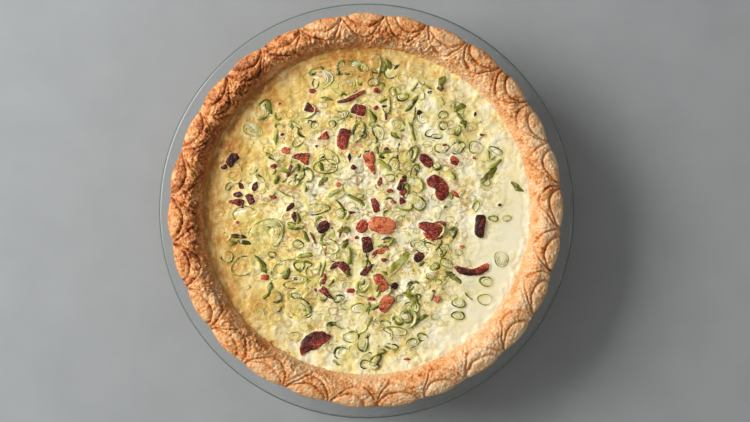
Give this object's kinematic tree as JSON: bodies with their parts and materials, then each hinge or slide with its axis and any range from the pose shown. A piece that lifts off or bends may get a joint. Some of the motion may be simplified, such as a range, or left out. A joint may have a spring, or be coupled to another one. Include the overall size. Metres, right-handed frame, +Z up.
{
  "type": "quiche",
  "caption": "Whole baked quiche with bacon and scallions, with a hand-stamped pastry rim, in a round glass pie dish.",
  "frame": {"origin": "centre of the dish's flat foot, on the table", "axes": "+Z up out of the dish; +X to the right and +Y away, with the pressed stamps counted clockwise from +Y"},
  "size_m": [0.25, 0.25, 0.0463],
  "materials": {
    "glass": "clear pressed glass with a faint green edge",
    "pastry": "baked golden shortcrust, matt and flaky",
    "custard": "baked egg custard, cream to gold, softly glossy",
    "bacon": "cooked bacon, dark red with pink fat, slightly oily",
    "scallion": "baked scallion, dark to pale green"
  },
  "bodies": {
    "root": {"glass_dish": "glass", "pastry_crust": "pastry", "custard": "custard", "bacon_01": "bacon", "bacon_02": "bacon", "bacon_03": "bacon", "bacon_04": "bacon", "bacon_05": "bacon", "bacon_06": "bacon", "bacon_07": "bacon", "bacon_08": "bacon", "bacon_09": "bacon", "bacon_10": "bacon", "bacon_11": "bacon", "bacon_12": "bacon", "bacon_13": "bacon", "bacon_14": "bacon", "bacon_15": "bacon", "bacon_16": "bacon", "bacon_17": "bacon", "bacon_18": "bacon", "bacon_19": "bacon", "bacon_20": "bacon", "bacon_21": "bacon", "bacon_22": "bacon", "bacon_23": "bacon", "bacon_24": "bacon", "bacon_25": "bacon", "bacon_26": "bacon", "bacon_27": "bacon", "bacon_28": "bacon", "scallion_ring_01": "scallion", "scallion_ring_02": "scallion", "scallion_ring_03": "scallion", "scallion_ring_04": "scallion", "scallion_ring_05": "scallion", "scallion_ring_06": "scallion", "scallion_ring_07": "scallion", "scallion_ring_08": "scallion", "scallion_ring_09": "scallion", "scallion_ring_10": "scallion", "scallion_ring_11": "scallion", "scallion_ring_12": "scallion", "scallion_ring_13": "scallion", "scallion_ring_14": "scallion", "scallion_ring_15": "scallion", "scallion_ring_16": "scallion", "scallion_leaf_01": "scallion", "scallion_leaf_02": "scallion", "scallion_leaf_03": "scallion", "scallion_leaf_04": "scallion", "scallion_leaf_05": "scallion", "scallion_leaf_06": "scallion", "scallion_leaf_07": "scallion", "scallion_leaf_08": "scallion", "scallion_leaf_09": "scallion", "scallion_leaf_10": "scallion", "scallion_leaf_11": "scallion", "scallion_leaf_12": "scallion", "scallion_leaf_13": "scallion"}
  },
  "joints": []
}
